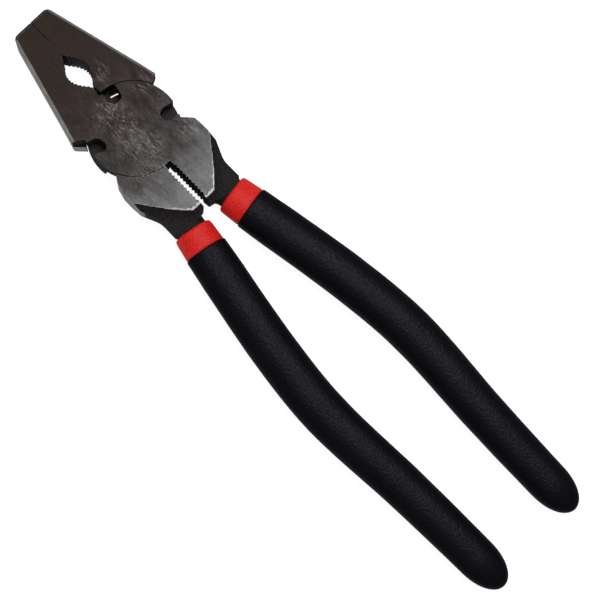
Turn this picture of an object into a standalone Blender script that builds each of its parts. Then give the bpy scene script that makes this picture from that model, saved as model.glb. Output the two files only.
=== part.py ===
"""Heavy fencing pliers: two forged levers in a lap joint, a flush rivet and double-dipped grips.

The origin is on the pivot axis, at the back face of the head. +Y points to the jaws and +Z
through the thickness. The tool lies flat with its jaws closed.

Dimensions are in millimetres, and new_object turns them into Blender's metres. Each half is
modelled in the front half's own place: jaw on the left, disc in the upper layer, handle on the
right, with z = 0 in the middle of the head. The rear half is the same forging turned over.
"""

import math

import bmesh
import bpy

MM = 0.001
SHARP_ANGLE = math.radians(35.0)

# Head
HEAD_THICK = 16.0
HALF_THICK = HEAD_THICK / 2
GAP = 0.3
DISC_RADIUS = 16.7
SEAM_RADIUS = DISC_RADIUS + GAP
DISC_SEGMENTS = 96
LAYER_FLOOR = GAP / 2
CUT_PAST = 2.0

# Jaws
JAW_LENGTH = 51.5
TIP_HALF_WIDTH = 7.9
TIP_CORNER_RADIUS = 2.4
JAW_SLOPE = 0.262
JAW_CHAMFER = 0.9
ENVELOPE_OVER = 0.5
ENVELOPE_FAR = 20.0
# Each lever's shoulder: its outer corner, and where it runs in to the disc
FRONT_SHOULDER = ((-18.7, 10.9), (-14.8, 6.9))
REAR_SHOULDER = ((-18.95, 8.7), (-15.9, 7.1))
SHOULDER_RADIUS = 0.5
SHOULDER_LENGTH = 6.0
THROAT_HALF_GAP = 0.35
JAW_ROOT = ((-9.0, 5.0), (-THROAT_HALF_GAP, 9.0))
THROAT_HOLE_RADIUS = 0.75
HOLE_SEGMENTS = 16

# Pipe grip, the toothed opening between the jaws
GRIP_LOW_Y = 20.0
GRIP_HIGH_Y = 35.3
GRIP_HALF_WIDTH = 4.25
GRIP_TEETH = 13
GRIP_TOOTH_DEPTH = 0.5

# Wings, the wide shoulders behind the joint
WING_GAP = 1.28
WING_HALF_WIDTH = 18.1
WING_END_Y = -38.2
# Each lever's wing top: where it leaves the disc, and its outer corner
FRONT_WING_TOP = ((15.3, -9.2), (17.8, -11.9))
REAR_WING_TOP = ((15.2, -6.9), (17.1, -9.9))
WING_ROOT = ((11.0, -5.0), (WING_GAP, -9.0))
# The wing's inner foot, its end and its outer waist: (x, y, corner radius)
WING_FOOT = (
    (WING_GAP, -36.4, 0.6),
    (3.6, -36.9, 0.5),
    (4.2, WING_END_Y, 0),
    (14.0, WING_END_Y, 0),
    (15.2, -36.6, 0.8),
    (15.1, -29.2, 8.0),
    (WING_HALF_WIDTH, -22.2, 1.8),
)
WING_TOP_EASE = 4.0
WING_TOP_RADIUS = 0.8
WING_TEETH_Y = (-18.8, -33.4)
WING_TEETH = 10
WING_TOOTH_DEPTH = 0.55

# The ground face ends square near the wire gap and then runs up to the wing's outer edge, a
# little bulged and uneven, and the forging falls away behind it
FLAT_END_Y = -34.0
FLAT_BEND_X = 5.0
FLAT_SIDE = (18.2, -18.2)
FLAT_BULGE = 0.9
FLAT_RIPPLE = 0.22
FLAT_RIPPLE_RATES = (1.7, 3.9)
FORGED_DROP = 3.9
FORGED_RUN = 3.0
# The blank that carries this relief: its columns across, and its rows behind the ground edge
BLANK_START = (-0.4, -3.0)
BLANK_PITCH = 0.9
BLANK_COLUMNS = 24
BLANK_ROWS = (0.8, 1.8, 3.0, 4.6, 7.0, 12.0)

# Cut-outs in a disc, all through its own layer: (x, y, corner radius)
SHOULDER_NOTCH = (
    (-20.5, 12.2, 0),
    (-14.5, 8.7, 0.3),
    (-15.1, 7.75, 0.2),
    (-10.9, 6.1, 2.2),
    (-10.2, 0.12, 1.8),
    (-20.5, 4.6, 0),
)
SIDE_NOTCH = (
    (19.5, -2.65, 0),
    (15.2, -2.5, 0.6),
    (12.9, -1.8, 1.6),
    (9.6, -2.3, 2.0),
    (9.6, -6.4, 2.2),
    (19.5, -7.9, 0),
)
CENTRE_NOTCH = (
    (0.6, 18.4, 0),
    (0.6, 14.9, 1.0),
    (-0.1, 12.9, 1.2),
    (1.2, 10.4, 1.4),
    (4.9, 10.4, 1.4),
    (5.6, 13.5, 2.0),
    (6.4, 18.4, 0),
)
# The slot in the rear disc, bent round the pivot, in degrees from +Y towards its own jaw
SLOT_RADII = (14.6, 16.6)
SLOT_ANGLES = (10.9, 23.6)

# Rivet
RIVET_RADIUS = 4.75
RIVET_HEAD_RADIUS = 5.7
RIVET_HEAD_DEPTH = 1.6
RIVET_SEGMENTS = 64

# Handles: the centre line of one handle, then each station's y, width and thickness
HANDLE_LINE = (
    (7.2, -26.0),
    (9.1, -37.0),
    (11.5, -50.8),
    (18.0, -88.0),
    (20.7, -116.5),
    (18.95, -154.6),
    (18.1, -186.0),
    (18.1, -212.0),
)
TANG_STATIONS = (
    (-30.0, 10.6, 8.6),
    (-40.0, 11.6, 9.2),
    (-50.0, 11.0, 8.8),
    (-88.0, 10.8, 8.6),
    (-130.0, 10.4, 8.4),
    (-190.0, 8.6, 7.4),
)
TANG_END_Y = -190.0
GRIP_STATIONS = (
    (-47.0, 16.0, 14.0),
    (-58.0, 16.4, 14.3),
    (-88.0, 16.7, 14.6),
    (-116.5, 16.7, 14.6),
    (-140.0, 16.1, 14.3),
    (-165.0, 15.5, 13.9),
    (-187.0, 14.9, 13.4),
)
RIGHT_END_Y = -200.3
LEFT_END_Y = -201.6
GRIP_DOME = 13.0
DOME_TURNS = (0.3, 0.55, 0.75, 0.9, 0.98)
DOME_POWER = 2.4
RED_MOUTH_Y = -38.9
RED_WIDTH = 14.5
RED_THICK = 12.7
RED_EDGE_Y = -46.6
RED_EDGE_GROWTH = 0.7
# The red mouth's rounding: how far behind the mouth, and how much narrower
RED_LIP = ((0.0, 1.6), (0.4, 0.4), (1.4, 0.0))
RED_END_WALL = 1.6
RED_MOUTH_WALL = 0.8
BLACK_WALL = 0.8
BLACK_LIP = (15.4, 13.5)
BLACK_LIP_LENGTH = 0.9
BLACK_END_WALL = 1.3
RING_POINTS = 18
RING_POWER = 2.3
STATIONS_ALONG_GRIP = 13


def new_material(name, colour, roughness, metallic):
    material = bpy.data.materials.new(name)
    material.use_nodes = True
    shader = material.node_tree.nodes["Principled BSDF"]
    shader.inputs["Base Color"].default_value = (*colour, 1.0)
    shader.inputs["Roughness"].default_value = roughness
    shader.inputs["Metallic"].default_value = metallic
    return material


def new_object(name, bm, parent, material=None):
    """Scales the mesh to metres and links it as an object; without a material it is a cutter."""
    bmesh.ops.recalc_face_normals(bm, faces=bm.faces)
    bmesh.ops.scale(bm, vec=(MM, MM, MM), verts=bm.verts)
    mesh = bpy.data.meshes.new(name)
    bm.to_mesh(mesh)
    bm.free()
    obj = bpy.data.objects.new(name, mesh)
    bpy.context.scene.collection.objects.link(obj)
    obj.parent = parent
    if material:
        mesh.materials.append(material)
    else:
        obj.hide_render = True
        obj.display_type = "WIRE"
    return obj


def new_empty(name, turn=0.0):
    """An empty on the pivot axis, in the middle of the head's thickness."""
    empty = bpy.data.objects.new(name, None)
    empty.location = (0.0, 0.0, HALF_THICK * MM)
    empty.rotation_euler = (0.0, turn, 0.0)
    bpy.context.scene.collection.objects.link(empty)
    return empty


def rounded(corners, steps=5):
    """A closed outline from corners (x, y, radius), each radius turned into an arc."""
    outline = []
    for i, (x, y, radius) in enumerate(corners):
        if not radius:
            outline.append((x, y))
            continue
        before = corners[i - 1]
        after = corners[(i + 1) % len(corners)]
        to_before = math.atan2(before[1] - y, before[0] - x)
        to_after = math.atan2(after[1] - y, after[0] - x)
        between = (to_after - to_before + math.pi) % math.tau - math.pi
        middle = to_before + between / 2
        away = radius / abs(math.sin(between / 2))
        centre_x = x + away * math.cos(middle)
        centre_y = y + away * math.sin(middle)
        sweep = math.copysign(math.pi, between) - between
        start = middle + math.pi + sweep / 2
        for k in range(steps + 1):
            angle = start - sweep * k / steps
            outline.append((centre_x + radius * math.cos(angle), centre_y + radius * math.sin(angle)))
    return outline


def circle(radius, segments, centre=(0.0, 0.0)):
    turns = [math.tau * (k + 0.5) / segments for k in range(segments)]
    return [(centre[0] + radius * math.cos(a), centre[1] + radius * math.sin(a)) for a in turns]


def prism(outline, low, high):
    bm = bmesh.new()
    floor = bm.faces.new([bm.verts.new((x, y, low)) for x, y in outline])
    made = bmesh.ops.extrude_face_region(bm, geom=[floor])["geom"]
    top = [item for item in made if isinstance(item, bmesh.types.BMVert)]
    bmesh.ops.translate(bm, vec=(0.0, 0.0, high - low), verts=top)
    return bm


def teeth(start, end, count, depth, place):
    """Points of a saw edge: valleys and crests by turns, put in place by a function of y."""
    points = []
    for k in range(2 * count + 1):
        y = start + (end - start) * k / (2 * count)
        points.append(place(y, depth if k % 2 else 0.0))
    return points


def jaw_outline(shoulder):
    """The left jaw from the parting line round the tip to the shoulder, then inside the disc."""

    def grip_edge(y, depth):
        half = GRIP_HALF_WIDTH * math.sin(math.pi * (y - GRIP_LOW_Y) / (GRIP_HIGH_Y - GRIP_LOW_Y))
        return (-max(half + depth - GRIP_TOOTH_DEPTH / 2, GAP / 2 + depth), y)

    (corner_x, corner_y), inner = shoulder
    flank_y = corner_y + SHOULDER_LENGTH
    flank_x = -TIP_HALF_WIDTH - JAW_SLOPE * (JAW_LENGTH - flank_y)
    saw = teeth(GRIP_LOW_Y, GRIP_HIGH_Y, GRIP_TEETH, GRIP_TOOTH_DEPTH, grip_edge)
    inner_edge = [(*JAW_ROOT[1], 0), (-THROAT_HALF_GAP, GRIP_LOW_Y - GRIP_TOOTH_DEPTH, 0)]
    inner_edge += [(*point, 0) for point in saw]
    outer_edge = [
        (-GAP / 2, JAW_LENGTH, 0),
        (-TIP_HALF_WIDTH, JAW_LENGTH, TIP_CORNER_RADIUS),
        (flank_x, flank_y, 0),
        (corner_x, corner_y, SHOULDER_RADIUS),
        (*inner, 0),
        (*JAW_ROOT[0], 0),
    ]
    return rounded(inner_edge + outer_edge)


def jaw_envelope(shoulder):
    """A convex block, taller than the jaw, whose sloping sides chamfer the jaw's tip and flank."""
    (corner_x, corner_y), _ = shoulder
    slant = math.hypot(1.0, JAW_SLOPE)
    flank_y = corner_y + SHOULDER_LENGTH
    flank_x = -TIP_HALF_WIDTH - JAW_SLOPE * (JAW_LENGTH - flank_y)
    heel_slope = (flank_x - corner_x) / SHOULDER_LENGTH
    bm = bmesh.new()
    rings = []
    for z, inset in (
        (-HALF_THICK - ENVELOPE_OVER, JAW_CHAMFER + ENVELOPE_OVER),
        (-HALF_THICK + JAW_CHAMFER + ENVELOPE_OVER, -ENVELOPE_OVER),
        (HALF_THICK - JAW_CHAMFER - ENVELOPE_OVER, -ENVELOPE_OVER),
        (HALF_THICK + ENVELOPE_OVER, JAW_CHAMFER + ENVELOPE_OVER),
    ):
        bend_x = flank_x + inset * slant
        corners = (
            (ENVELOPE_FAR, JAW_LENGTH - inset, 0),
            (-TIP_HALF_WIDTH + inset * (slant - JAW_SLOPE), JAW_LENGTH - inset, TIP_CORNER_RADIUS - inset),
            (bend_x, flank_y, 0),
            (bend_x + heel_slope * (-ENVELOPE_FAR - flank_y), -ENVELOPE_FAR, 0),
            (ENVELOPE_FAR, -ENVELOPE_FAR, 0),
        )
        rings.append([bm.verts.new((x, y, z)) for x, y in rounded(corners)])
    for one, other in zip(rings, rings[1:]):
        for k in range(len(one)):
            after = (k + 1) % len(one)
            bm.faces.new((one[k], one[after], other[after], other[k]))
    bm.faces.new(rings[0])
    bm.faces.new(rings[-1])
    return bm


def wing_outline(wing_top):
    """The right wing from inside the disc down the toothed inner edge and up the outer edge."""

    def wing_edge(y, depth):
        return (WING_GAP + depth, y)

    neck, (top_x, top_y) = wing_top
    saw = teeth(*WING_TEETH_Y, WING_TEETH, WING_TOOTH_DEPTH, wing_edge)
    inner_edge = [(*WING_ROOT[1], 0)] + [(*point, 0) for point in saw]
    outer_edge = [
        (WING_HALF_WIDTH, top_y - WING_TOP_EASE, WING_TOP_EASE),
        (top_x, top_y, WING_TOP_RADIUS),
        (*neck, 0),
        (*WING_ROOT[0], 0),
    ]
    return rounded(inner_edge + list(WING_FOOT) + outer_edge)


def flat_edge(x, phase):
    """Where the ground face ends at x; the phase sets how its ripple runs."""
    share = max(0.0, (x - FLAT_BEND_X) / (FLAT_SIDE[0] - FLAT_BEND_X))
    y = FLAT_END_Y + (FLAT_SIDE[1] - FLAT_END_Y) * share - FLAT_BULGE * math.sin(math.pi * share)
    slow, fast = FLAT_RIPPLE_RATES
    return y + FLAT_RIPPLE * (math.sin(slow * x + phase) + math.sin(fast * x + 2 * phase))


def forged_blank():
    """The wing's top and bottom: level up to where grinding stops, then falling away."""
    start_x, start_y = BLANK_START
    columns = [start_x + BLANK_PITCH * k for k in range(BLANK_COLUMNS)]
    last_y = WING_END_Y - CUT_PAST
    bm = bmesh.new()
    sheets = []
    for side in (1, -1):
        rows = []
        for x in columns:
            edge_y = flat_edge(x, side)
            heights = [(start_y, HALF_THICK), (edge_y, HALF_THICK)]
            for row in BLANK_ROWS:
                y = edge_y - row * min(1.0, (edge_y - last_y) / BLANK_ROWS[-1])
                height = HALF_THICK - FORGED_DROP * (1 - math.exp((y - edge_y) / FORGED_RUN))
                heights.append((y, height))
            heights.append((last_y - CUT_PAST, heights[-1][1]))
            rows.append([bm.verts.new((x, y, side * z)) for y, z in heights])
        sheets.append(rows)
    top, bottom = sheets
    across = len(columns)
    along = len(top[0])
    for rows in sheets:
        for i in range(across - 1):
            for j in range(along - 1):
                bm.faces.new((rows[i][j], rows[i + 1][j], rows[i + 1][j + 1], rows[i][j + 1]))
    for i in range(across - 1):
        for j in (0, along - 1):
            bm.faces.new((top[i][j], top[i + 1][j], bottom[i + 1][j], bottom[i][j]))
    for j in range(along - 1):
        for i in (0, across - 1):
            bm.faces.new((top[i][j], top[i][j + 1], bottom[i][j + 1], bottom[i][j]))
    return bm


def handle_x(y):
    """The handle's centre line, a Catmull-Rom curve through HANDLE_LINE."""
    last = len(HANDLE_LINE) - 2
    i = next((k for k in range(last) if y > HANDLE_LINE[k + 1][1]), last)
    x0, y0 = HANDLE_LINE[max(i - 1, 0)]
    x1, y1 = HANDLE_LINE[i]
    x2, y2 = HANDLE_LINE[i + 1]
    x3, y3 = HANDLE_LINE[min(i + 2, last + 1)]
    t = (y - y1) / (y2 - y1)
    slope1 = (x2 - x0) / (y2 - y0) * (y2 - y1)
    slope2 = (x3 - x1) / (y3 - y1) * (y2 - y1)
    return (
        x1 * (2 * t**3 - 3 * t**2 + 1)
        + slope1 * (t**3 - 2 * t**2 + t)
        + x2 * (3 * t**2 - 2 * t**3)
        + slope2 * (t**3 - t**2)
    )


def size_at(stations, y):
    """Width and thickness at y, from stations (y, width, thickness) listed towards the end."""
    if y >= stations[0][0]:
        return stations[0][1:]
    for (y1, w1, t1), (y2, w2, t2) in zip(stations, stations[1:]):
        if y >= y2:
            share = (y - y1) / (y2 - y1)
            return w1 + (w2 - w1) * share, t1 + (t2 - t1) * share
    return stations[-1][1:]


def squared(share):
    """Turns a circle's sine or cosine into a slightly squarer oval's."""
    return math.copysign(abs(share) ** (2 / RING_POWER), share)


def ring(bm, y, width, thick):
    """One cross-section of the handle, square to its centre line."""
    lean = math.atan(handle_x(y + 0.5) - handle_x(y - 0.5))
    verts = []
    for k in range(RING_POINTS):
        angle = math.tau * k / RING_POINTS
        across = squared(math.cos(angle)) * width / 2
        up = squared(math.sin(angle)) * thick / 2
        x = handle_x(y) + across * math.cos(lean)
        verts.append(bm.verts.new((x, y - across * math.sin(lean), up)))
    return verts


def loft(stations):
    """A closed skin through the sections (y, width, thickness), capped at both ends."""
    bm = bmesh.new()
    rings = [ring(bm, *station) for station in stations]
    for one, other in zip(rings, rings[1:]):
        for k in range(RING_POINTS):
            after = (k + 1) % RING_POINTS
            bm.faces.new((one[k], one[after], other[after], other[k]))
    bm.faces.new(rings[0])
    bm.faces.new(rings[-1])
    return bm


def sections_between(stations, growth, start_y, end_y, count=STATIONS_ALONG_GRIP):
    """Even sections from start to end, each side grown by the given amount."""
    sections = []
    for k in range(count):
        y = start_y + (end_y - start_y) * k / (count - 1)
        width, thick = size_at(stations, y)
        sections.append((y, width + 2 * growth, thick + 2 * growth))
    return sections


def skin(inset, start_y, end_y):
    """Sections of a grip's outside from start to its domed end, set in below the full size."""
    dome_y = end_y + GRIP_DOME
    sections = sections_between(GRIP_STATIONS, -inset, start_y, dome_y)
    _, width, thick = sections[-1]
    for turn in DOME_TURNS:
        shrink = (1 - turn**DOME_POWER) ** (1 / DOME_POWER)
        sections.append((dome_y - GRIP_DOME * turn, width * shrink, thick * shrink))
    return sections


def red_sleeve(end_y):
    """The first dip: a collar that shows at the mouth, and a thinner length under the black."""
    hollow = sections_between(TANG_STATIONS, GAP, TANG_END_Y - GAP, RED_MOUTH_Y - RED_MOUTH_WALL)
    collar = [(RED_MOUTH_Y - back, RED_WIDTH - less, RED_THICK - less) for back, less in RED_LIP]
    collar.append((RED_EDGE_Y, RED_WIDTH + RED_EDGE_GROWTH, RED_THICK + RED_EDGE_GROWTH))
    under = skin(BLACK_WALL + GAP, RED_EDGE_Y - GAP, end_y + RED_END_WALL)
    return loft(hollow + collar + under)


def black_sleeve(end_y):
    """The second dip: a thin grip over the red sleeve, from just behind the red collar."""
    start_y = RED_EDGE_Y - GAP
    inner = skin(BLACK_WALL, start_y - GAP, end_y + BLACK_END_WALL)
    outer = skin(0.0, start_y - BLACK_LIP_LENGTH, end_y)
    return loft(inner[::-1] + [(start_y, *BLACK_LIP)] + outer)


def slot_outline(steps=8):
    """A slot bent round the pivot; its angles run from +Y towards the jaw of its own half."""
    inner_radius, outer_radius = SLOT_RADII
    start, end = SLOT_ANGLES
    angles = [math.radians(start + (end - start) * k / steps) for k in range(steps + 1)]
    outer = [(-outer_radius * math.sin(a), outer_radius * math.cos(a)) for a in angles]
    inner = [(-inner_radius * math.sin(a), inner_radius * math.cos(a)) for a in angles]
    return outer + inner[::-1]


def lever(name, half, shoulder, wing_top, with_slot, material):
    """One forging: jaw, lap disc, wing and tang, with its cut-outs as Boolean modifiers."""
    past = HALF_THICK + CUT_PAST
    jaw = prism(jaw_outline(shoulder), -HALF_THICK, HALF_THICK)
    body = new_object(name, jaw, half, material)
    add_boolean(body, new_object(name + "_envelope", jaw_envelope(shoulder), half), "INTERSECT")
    wing = new_object(name + "_wing", forged_blank(), half)
    planform = new_object(name + "_planform", prism(wing_outline(wing_top), -past, past), half)
    add_boolean(wing, planform, "INTERSECT")
    add_boolean(body, wing, "UNION")

    tang = loft(sections_between(TANG_STATIONS, 0.0, TANG_STATIONS[0][0], TANG_END_Y))
    hole = circle(THROAT_HOLE_RADIUS, HOLE_SEGMENTS, (0.0, SEAM_RADIUS))
    steps = [
        ("tang", tang, "UNION"),
        ("lap", prism(circle(SEAM_RADIUS, DISC_SEGMENTS), -past, LAYER_FLOOR), "DIFFERENCE"),
        ("disc", prism(circle(DISC_RADIUS, DISC_SEGMENTS), LAYER_FLOOR, HALF_THICK), "UNION"),
        ("shoulder_notch", prism(rounded(SHOULDER_NOTCH), 0.0, past), "DIFFERENCE"),
        ("side_notch", prism(rounded(SIDE_NOTCH), 0.0, past), "DIFFERENCE"),
        ("centre_notch", prism(rounded(CENTRE_NOTCH), 0.0, past), "DIFFERENCE"),
        ("throat_hole", prism(hole, -past, past), "DIFFERENCE"),
        ("rivet_hole", prism(circle(RIVET_RADIUS + GAP, RIVET_SEGMENTS), -past, past), "DIFFERENCE"),
        ("countersink", countersink(), "DIFFERENCE"),
    ]
    if with_slot:
        steps.append(("slot", prism(slot_outline(), 0.0, past), "DIFFERENCE"))
    for step, shape, operation in steps:
        add_boolean(body, new_object(f"{name}_{step}", shape, half), operation)


def add_boolean(obj, tool, operation):
    modifier = obj.modifiers.new(tool.name, "BOOLEAN")
    modifier.object = tool
    modifier.operation = operation
    modifier.solver = "EXACT"


def turned(profile, segments):
    """A solid turned about the pivot axis from (radius, z) points, closed by a face at each end."""
    bm = bmesh.new()
    rings = []
    for radius, z in profile:
        rings.append([bm.verts.new((x, y, z)) for x, y in circle(radius, segments)])
    for one, other in zip(rings, rings[1:]):
        for k in range(segments):
            after = (k + 1) % segments
            bm.faces.new((one[k], one[after], other[after], other[k]))
    bm.faces.new(rings[0])
    bm.faces.new(rings[-1])
    return bm


def countersink():
    """The cone in a disc's outer face that holds the rivet's head."""
    shallow = HALF_THICK - RIVET_HEAD_DEPTH
    growth = (RIVET_HEAD_RADIUS - RIVET_RADIUS) / RIVET_HEAD_DEPTH
    low = (RIVET_RADIUS + GAP - growth * GAP, shallow - GAP)
    high = (RIVET_HEAD_RADIUS + GAP + growth * GAP, HALF_THICK + GAP)
    return turned([low, high], RIVET_SEGMENTS)


def rivet():
    shallow = HALF_THICK - RIVET_HEAD_DEPTH
    profile = [
        (RIVET_HEAD_RADIUS, -HALF_THICK),
        (RIVET_RADIUS, -shallow),
        (RIVET_RADIUS, shallow),
        (RIVET_HEAD_RADIUS, HALF_THICK),
    ]
    return turned(profile, RIVET_SEGMENTS)


def main():
    for obj in list(bpy.data.objects):
        bpy.data.objects.remove(obj, do_unlink=True)
    steel = new_material("forged_steel", (0.05, 0.042, 0.038), 0.42, 0.9)
    rivet_steel = new_material("rivet_steel", (0.09, 0.08, 0.075), 0.38, 0.9)
    red = new_material("red_vinyl", (0.58, 0.035, 0.02), 0.45, 0.0)
    black = new_material("black_vinyl", (0.008, 0.008, 0.01), 0.62, 0.0)

    front = new_empty("front_half_pivot")
    rear = new_empty("rear_half_pivot", math.pi)
    lever("lever_front", front, FRONT_SHOULDER, FRONT_WING_TOP, False, steel)
    lever("lever_rear", rear, REAR_SHOULDER, REAR_WING_TOP, True, steel)
    new_object("pivot_rivet", rivet(), rear, rivet_steel)
    for half, side, end_y in ((front, "right", RIGHT_END_Y), (rear, "left", LEFT_END_Y)):
        new_object("inner_sleeve_" + side, red_sleeve(end_y), half, red).data.shade_smooth()
        new_object("outer_grip_" + side, black_sleeve(end_y), half, black).data.shade_smooth()
    for obj in bpy.data.objects:
        if obj.type == "MESH" and not obj.hide_render:
            obj.data.set_sharp_from_angle(angle=SHARP_ANGLE)


main()
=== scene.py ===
"""Looks for the fencing pliers: fine levers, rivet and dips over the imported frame, on a pale floor.

Shapes are built in millimetres in the frame of one half (jaw on the left, disc in the upper layer,
handle on the right, z = 0 in the middle of the head), then placed and turned into metres.
"""

import math
from types import SimpleNamespace

import bmesh
import bpy
from mathutils import Matrix, Vector, noise


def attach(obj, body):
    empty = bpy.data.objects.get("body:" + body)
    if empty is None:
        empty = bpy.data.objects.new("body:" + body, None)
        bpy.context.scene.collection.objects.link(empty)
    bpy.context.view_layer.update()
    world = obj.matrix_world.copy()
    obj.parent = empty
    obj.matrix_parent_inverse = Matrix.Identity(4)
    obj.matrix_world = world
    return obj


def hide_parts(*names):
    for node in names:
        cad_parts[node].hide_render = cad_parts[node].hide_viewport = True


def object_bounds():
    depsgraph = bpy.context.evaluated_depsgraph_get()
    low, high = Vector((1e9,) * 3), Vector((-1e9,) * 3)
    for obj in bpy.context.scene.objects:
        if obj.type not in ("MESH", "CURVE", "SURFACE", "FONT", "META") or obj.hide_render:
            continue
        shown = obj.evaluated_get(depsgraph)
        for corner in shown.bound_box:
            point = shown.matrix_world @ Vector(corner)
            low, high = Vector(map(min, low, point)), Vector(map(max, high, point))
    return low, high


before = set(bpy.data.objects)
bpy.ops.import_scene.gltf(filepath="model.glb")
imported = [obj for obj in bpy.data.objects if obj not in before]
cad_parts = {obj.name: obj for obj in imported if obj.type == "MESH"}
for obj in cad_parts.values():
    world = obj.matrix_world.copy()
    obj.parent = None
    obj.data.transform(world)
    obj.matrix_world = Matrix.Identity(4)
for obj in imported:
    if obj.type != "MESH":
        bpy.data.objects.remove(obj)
cad_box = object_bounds()

MM = 0.001
HEAD_THICK = 16.0
HALF_THICK = HEAD_THICK / 2
GAP = 0.3
DISC_RADIUS = 16.7
SEAM_RADIUS = DISC_RADIUS + GAP
DISC_SEGMENTS = 144
LAYER_FLOOR = GAP / 2
CUT_PAST = 2.0

# Jaws
JAW_LENGTH = 51.5
TIP_HALF_WIDTH = 7.9
TIP_CORNER_RADIUS = 2.4
JAW_SLOPE = 0.262
JAW_CHAMFER = 0.9
FRONT_SHOULDER = ((-18.7, 10.9), (-14.8, 6.9))
REAR_SHOULDER = ((-18.95, 8.7), (-15.9, 7.1))
SHOULDER_RADIUS = 0.5
SHOULDER_LENGTH = 6.0
THROAT_HALF_GAP = 0.35
JAW_ROOT = ((-9.0, 5.0), (-THROAT_HALF_GAP, 9.0))
THROAT_HOLE_RADIUS = 0.75
THROAT_HOLE_SEGMENTS = 24

# Pipe grip between the jaws
GRIP_LOW_Y = 20.0
GRIP_HIGH_Y = 35.3
GRIP_HALF_WIDTH = 4.25
GRIP_TEETH = 13
GRIP_TOOTH_DEPTH = 0.5

# Wings behind the joint
WING_GAP = 1.28
WING_HALF_WIDTH = 18.1
WING_END_Y = -38.2
FRONT_WING_TOP = ((15.3, -9.2), (17.8, -11.9))
REAR_WING_TOP = ((15.2, -6.9), (17.1, -9.9))
WING_ROOT = ((11.0, -5.0), (WING_GAP, -9.0))
WING_FOOT = (
    (WING_GAP, -36.4, 0.6),
    (3.6, -36.9, 0.5),
    (4.2, WING_END_Y, 0),
    (14.0, WING_END_Y, 0),
    (15.2, -36.6, 0.8),
    (15.1, -29.2, 8.0),
    (WING_HALF_WIDTH, -22.2, 1.8),
)
WING_TOP_EASE = 4.0
WING_TOP_RADIUS = 0.8
WING_TEETH_Y = (-18.8, -33.4)
WING_TEETH = 10
WING_TOOTH_DEPTH = 0.55

# Where grinding stops on a wing, and the forging behind it
FLAT_END_Y = -34.0
FLAT_BEND_X = 5.0
FLAT_SIDE = (18.2, -18.2)
FLAT_BULGE = 0.9
FLAT_RIPPLE = 0.15
FLAT_RIPPLE_RATES = (1.7, 3.9)
RIPPLE_FADE = 0.8
FORGED_DROP = 3.9
FORGED_RUN = 3.0
BLANK_START = (-0.4, -3.0)
BLANK_TOP = HALF_THICK + 0.9
BLANK_STEP = 0.4
BLANK_PITCH = 0.3
BLANK_COLUMNS = 70
BLANK_ROWS = (0.2, 0.45, 0.8, 1.2, 1.8, 2.4, 3.0, 3.8, 4.6, 5.6, 7.0, 9.0, 12.0)

# Cut-outs in a disc: (x, y, corner radius)
SHOULDER_NOTCH = (
    (-20.5, 12.2, 0),
    (-14.5, 8.7, 0.3),
    (-15.1, 7.75, 0.2),
    (-10.9, 6.1, 2.2),
    (-10.2, 0.12, 1.8),
    (-20.5, 4.6, 0),
)
SIDE_NOTCH = (
    (19.5, -2.65, 0),
    (15.2, -2.5, 0.6),
    (12.9, -1.8, 1.6),
    (9.6, -2.3, 2.0),
    (9.6, -6.4, 2.2),
    (19.5, -7.9, 0),
)
CENTRE_NOTCH = (
    (0.6, 18.4, 0),
    (0.6, 14.9, 1.0),
    (-0.1, 12.9, 1.2),
    (1.2, 10.4, 1.4),
    (4.9, 10.4, 1.4),
    (5.6, 13.5, 2.0),
    (6.4, 18.4, 0),
)
SLOT_RADII = (14.6, 16.6)
SLOT_ANGLES = (10.9, 23.6)

# Rivet: in the looks it fills its hole, since the real one is swaged tight and ground flush
RIVET_RADIUS = 4.75
RIVET_HEAD_RADIUS = 5.7
RIVET_HEAD_DEPTH = 1.6
RIVET_SEGMENTS = 96
RIVET_FIT = 0.02

# How far each part of a lever stands above the faces before a slab cuts them level together
JAW_PROUD = 0.3
ENVELOPE_PROUD = 0.5
DISC_PROUD = 0.7
ENVELOPE_SIDE = 20.0
ENVELOPE_HEEL_Y = -20.0
SLAB = ((-60, -300), (60, -300), (60, 100), (-60, 100))

# Mending after the cuts, and the rounding of the faces' rims
WELD = 0.02
SLIVER = 0.01
LEVEL_NORMAL = 0.9999
LEVEL_SLACK = 0.001
WALL_NORMAL = 0.999
MITRE_LIMIT = 0.35
RIM_SHARES = (1 / 3, 2 / 3, 1.0)
EDGE_ROUNDING = 0.14

# Handles
HANDLE_LINE = (
    (7.2, -26.0),
    (9.1, -37.0),
    (11.5, -50.8),
    (18.0, -88.0),
    (20.7, -116.5),
    (18.95, -154.6),
    (18.1, -186.0),
    (18.1, -212.0),
)
TANG_STATIONS = (
    (-30.0, 10.6, 8.6),
    (-40.0, 11.6, 9.2),
    (-50.0, 11.0, 8.8),
    (-88.0, 10.8, 8.6),
    (-130.0, 10.4, 8.4),
    (-190.0, 8.6, 7.4),
)
TANG_END_Y = -190.0
TANG_SECTIONS = 60
TANG_POINTS = 48
GRIP_STATIONS = (
    (-47.0, 16.0, 14.0),
    (-58.0, 16.4, 14.3),
    (-88.0, 16.7, 14.6),
    (-116.5, 16.7, 14.6),
    (-140.0, 16.1, 14.3),
    (-165.0, 15.5, 13.9),
    (-187.0, 14.9, 13.4),
)
RIGHT_END_Y = -200.3
LEFT_END_Y = -201.6
END_SHRINK = 0.27
GRIP_DOME = 13.5
DOME_POWER = 2.05
RED_MOUTH_Y = -38.9
RED_WIDTH = 14.5
RED_THICK = 12.7
RED_EDGE_Y = -46.6
RED_EDGE_GROWTH = 0.7
RED_LIP = (0.9, 3.2)
RED_ROUNDING = (1.2, 1.6)
RED_TUCK = (2.5, 1.2)
RED_SECTIONS = 14
RED_RISE = 0.05
BLACK_MOUTH = ((0.0, 1.5), (0.02, 0.9), (0.12, 0.5), (0.3, 0.22), (0.55, 0.06), (0.9, 0.0))
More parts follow.
